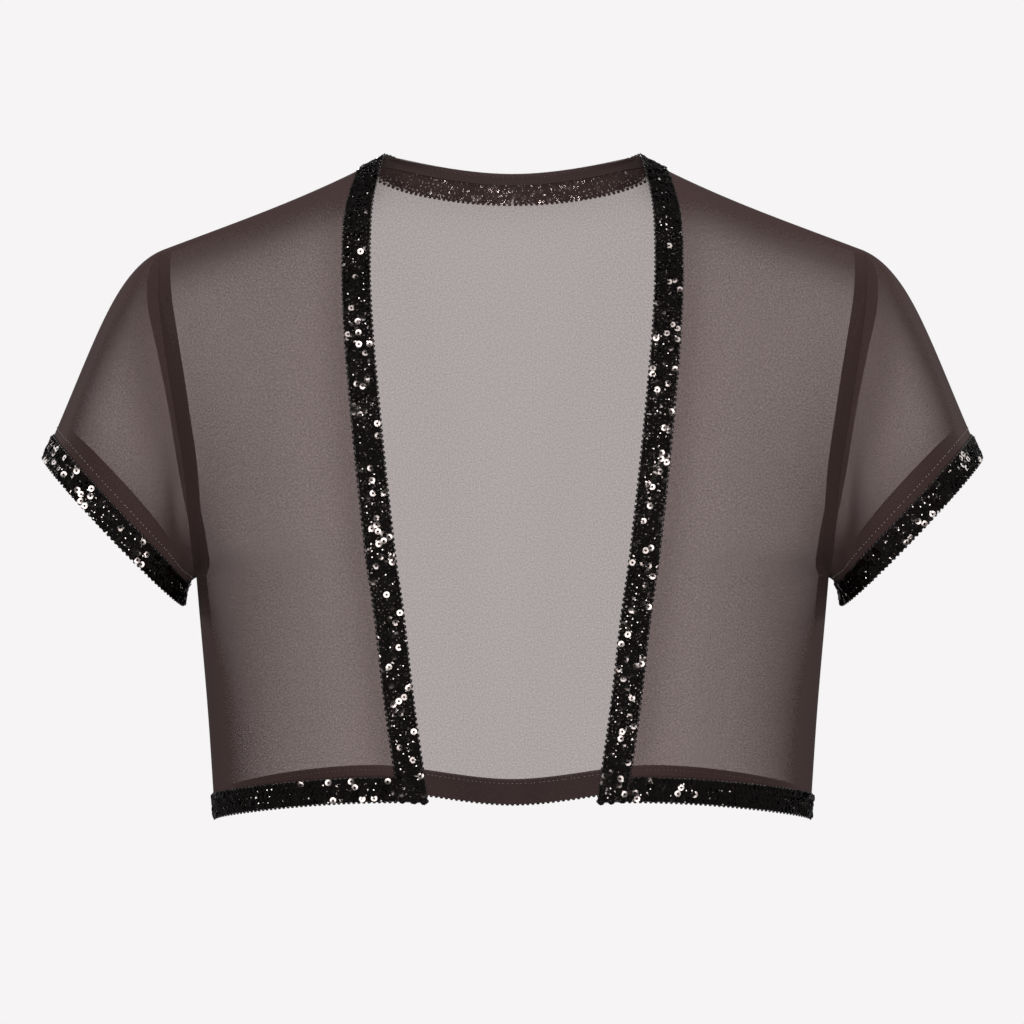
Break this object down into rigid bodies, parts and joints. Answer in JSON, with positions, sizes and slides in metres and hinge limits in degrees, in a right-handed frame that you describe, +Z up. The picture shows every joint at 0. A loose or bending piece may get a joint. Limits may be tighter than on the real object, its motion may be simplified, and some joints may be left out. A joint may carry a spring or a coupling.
{
  "type": "open-front sheer shrug top with sequin trim",
  "caption": "Short open-front shrug top of sheer black mesh with short sleeves, edged at front, neck, hem and cuffs with sequin trim, filled out as if worn.",
  "frame": {"origin": "midway between the points where the two shoulder seams meet the neck, where the wearer's shoulders hold the garment", "axes": "+Z up, -Y out of the open front, +X towards the wearer's left sleeve"},
  "size_m": [0.5096, 0.1693, 0.3607],
  "materials": {
    "mesh": "sheer black mesh, matt, slightly warm",
    "sequin_trim": "black sequins and beads, glossy",
    "folded_mesh": "several layers of sheer black mesh, matt"
  },
  "bodies": {
    "root": {"back": "mesh", "front_left": "mesh", "front_right": "mesh", "sleeve_left": "mesh", "sleeve_right": "mesh", "trim_front_neck_left": "sequin_trim", "trim_front_neck_right": "sequin_trim", "trim_hem": "sequin_trim", "trim_cuff_left": "sequin_trim", "trim_cuff_right": "sequin_trim", "armhole_seam_left": "folded_mesh", "armhole_seam_right": "folded_mesh", "side_seam_left": "folded_mesh", "side_seam_right": "folded_mesh", "shoulder_seam_left": "folded_mesh", "shoulder_seam_right": "folded_mesh", "neck_fold": "folded_mesh", "hem_fold": "folded_mesh", "cuff_fold_left": "folded_mesh", "cuff_fold_right": "folded_mesh"}
  },
  "joints": []
}
